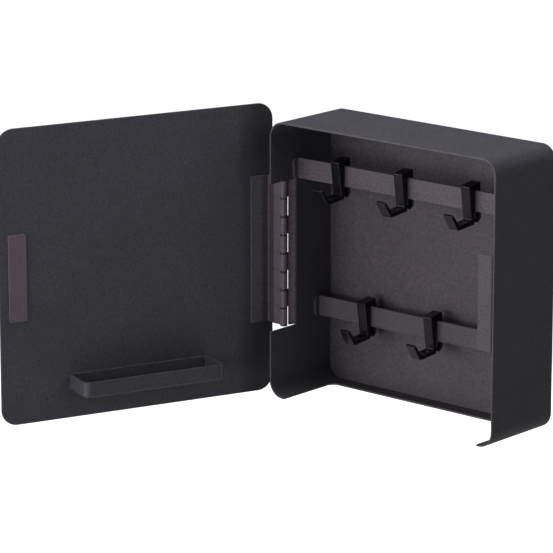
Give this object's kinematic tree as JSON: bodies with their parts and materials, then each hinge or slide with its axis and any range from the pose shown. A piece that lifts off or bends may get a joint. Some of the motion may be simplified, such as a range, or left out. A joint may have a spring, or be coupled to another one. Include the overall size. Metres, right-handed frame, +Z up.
{
  "type": "magnetic key box",
  "caption": "Square sheet-steel key box with magnet sheets behind, an open floor, a piano-hinged door with a small tray, and clip-on key hooks on cross rails.",
  "frame": {"origin": "centre of the middle rear magnet sheet's back face, which is the centre of the case's back", "axes": "+X to the right for someone facing the box, +Y back into the surface that it hangs on, +Z up"},
  "size_m": [0.2833, 0.2261, 0.2],
  "materials": {
    "coated_steel": "fine-textured matt black coat",
    "inner_steel": "fine-textured matt black coat",
    "magnet_sheet": "matt flexible magnet",
    "pin_steel": "blackened steel",
    "hook_plastic": "smooth black plastic"
  },
  "bodies": {
    "case": {"case_shell": "coated_steel", "back_panel": "inner_steel", "upper_rail": "inner_steel", "lower_rail": "inner_steel", "catch_bracket": "inner_steel", "rear_magnet_top": "magnet_sheet", "rear_magnet_middle": "magnet_sheet", "rear_magnet_bottom": "magnet_sheet", "hinge_case_leaf": "coated_steel", "hinge_pin": "pin_steel"},
    "door": {"hinge_door_leaf": "coated_steel", "door_panel": "coated_steel", "door_magnet": "magnet_sheet", "door_tray": "coated_steel"},
    "upper_hook_1": {"upper_hook_1": "hook_plastic"},
    "upper_hook_2": {"upper_hook_2": "hook_plastic"},
    "upper_hook_3": {"upper_hook_3": "hook_plastic"},
    "lower_hook_1": {"lower_hook_1": "hook_plastic"},
    "lower_hook_2": {"lower_hook_2": "hook_plastic"}
  },
  "joints": [
    {"name": "door_hinge", "type": "hinge", "parent": "case", "child": "door", "pos_m": [-0.0975, -0.0465, 0.0009], "axis": [0, 0, -1], "range_deg": [-111.2, 48.8]},
    {"name": "upper_hook_1_slide", "type": "slide", "parent": "case", "child": "upper_hook_1", "axis": [1, 0, 0], "range_m": [-0.0325, 0.02325]},
    {"name": "upper_hook_2_slide", "type": "slide", "parent": "case", "child": "upper_hook_2", "axis": [1, 0, 0], "range_m": [-0.02325, 0.0242]},
    {"name": "upper_hook_3_slide", "type": "slide", "parent": "case", "child": "upper_hook_3", "axis": [1, 0, 0], "range_m": [-0.0242, 0.033]},
    {"name": "lower_hook_1_slide", "type": "slide", "parent": "case", "child": "lower_hook_1", "axis": [1, 0, 0], "range_m": [-0.0374, 0.0248]},
    {"name": "lower_hook_2_slide", "type": "slide", "parent": "case", "child": "lower_hook_2", "axis": [1, 0, 0], "range_m": [-0.0248, 0.0809]}
  ]
}
